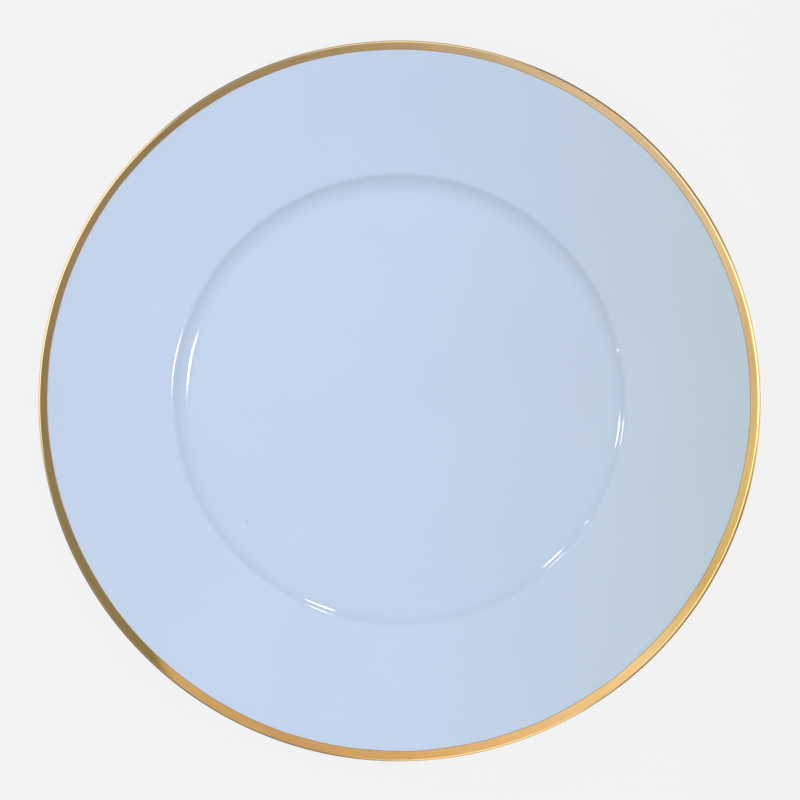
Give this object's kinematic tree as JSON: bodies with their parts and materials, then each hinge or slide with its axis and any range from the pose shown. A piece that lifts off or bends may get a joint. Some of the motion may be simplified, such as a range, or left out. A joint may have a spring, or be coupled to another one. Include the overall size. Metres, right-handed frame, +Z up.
{
  "type": "dinner plate",
  "caption": "Round china dinner plate with a wide sloping rim, a shallow flat well, a foot ring underneath and a gold line round its edge.",
  "frame": {"origin": "centre of the plate, on the surface that its foot ring stands on", "axes": "+Z up along the plate's axis, out of the well; X and Y lie in the table's plane, and the plate is round, so any direction may be X"},
  "size_m": [0.27, 0.27, 0.022],
  "materials": {
    "bare_porcelain": "matte",
    "glaze": "gloss",
    "gold": "polished",
    "mark_print": "satin"
  },
  "bodies": {
    "root": {"porcelain_body": "bare_porcelain", "face_and_back_glaze": "glaze", "base_glaze": "glaze", "gold_edge_band": "gold", "printed_mark": "mark_print"}
  },
  "joints": []
}
